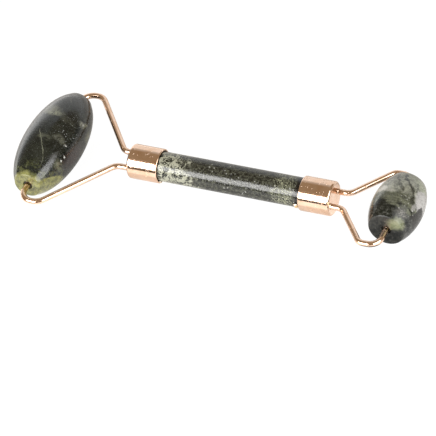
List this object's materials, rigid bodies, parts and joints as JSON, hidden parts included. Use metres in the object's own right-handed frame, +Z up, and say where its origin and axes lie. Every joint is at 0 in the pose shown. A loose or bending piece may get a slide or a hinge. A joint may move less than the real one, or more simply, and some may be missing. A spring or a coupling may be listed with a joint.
{
  "type": "face roller",
  "caption": "Hand-held stone face roller: a round stone handle with plated ferrules and bent-wire yokes that carry a large and a small barrel-shaped stone, each spinning on its wires.",
  "frame": {"origin": "middle of the bottom of the bounding box, on the surface that both stones lie on", "axes": "+X along the handle from the large roller to the small one, +Y along both roller axles, +Z up; the handle slopes 0.73 degrees down towards +X because the large stone is thicker"},
  "size_m": [0.1408, 0.0562, 0.0202],
  "materials": {
    "dark_jade": "satin polish, near-black green with grey-green mottling, specks and pale veins",
    "pale_jade": "satin polish, mottled light grey-green with dark veins",
    "rose_gold": "bright rose-gold plating over drawn brass and wire",
    "sleeve_plastic": "natural nylon tube",
    "epoxy": "cured amber adhesive"
  },
  "bodies": {
    "frame": {"handle_rod": "dark_jade", "large_ferrule": "rose_gold", "small_ferrule": "rose_gold", "large_arm_far": "rose_gold", "large_arm_near": "rose_gold", "small_arm_far": "rose_gold", "small_arm_near": "rose_gold", "large_adhesive_plug": "epoxy", "small_adhesive_plug": "epoxy"},
    "large_roller": {"large_roller_stone": "dark_jade", "large_sleeve_far": "sleeve_plastic", "large_sleeve_near": "sleeve_plastic"},
    "small_roller": {"small_roller_stone": "pale_jade", "small_sleeve_far": "sleeve_plastic", "small_sleeve_near": "sleeve_plastic"}
  },
  "joints": [
    {"name": "large_roller_spin", "type": "hinge", "parent": "frame", "child": "large_roller", "pos_m": [-0.06027, 0.0008, 0.0101], "axis": [0, 1, 0], "continuous": true},
    {"name": "small_roller_spin", "type": "hinge", "parent": "frame", "child": "small_roller", "pos_m": [0.06182, 0.0013, 0.00855], "axis": [0, 1, 0], "continuous": true}
  ]
}
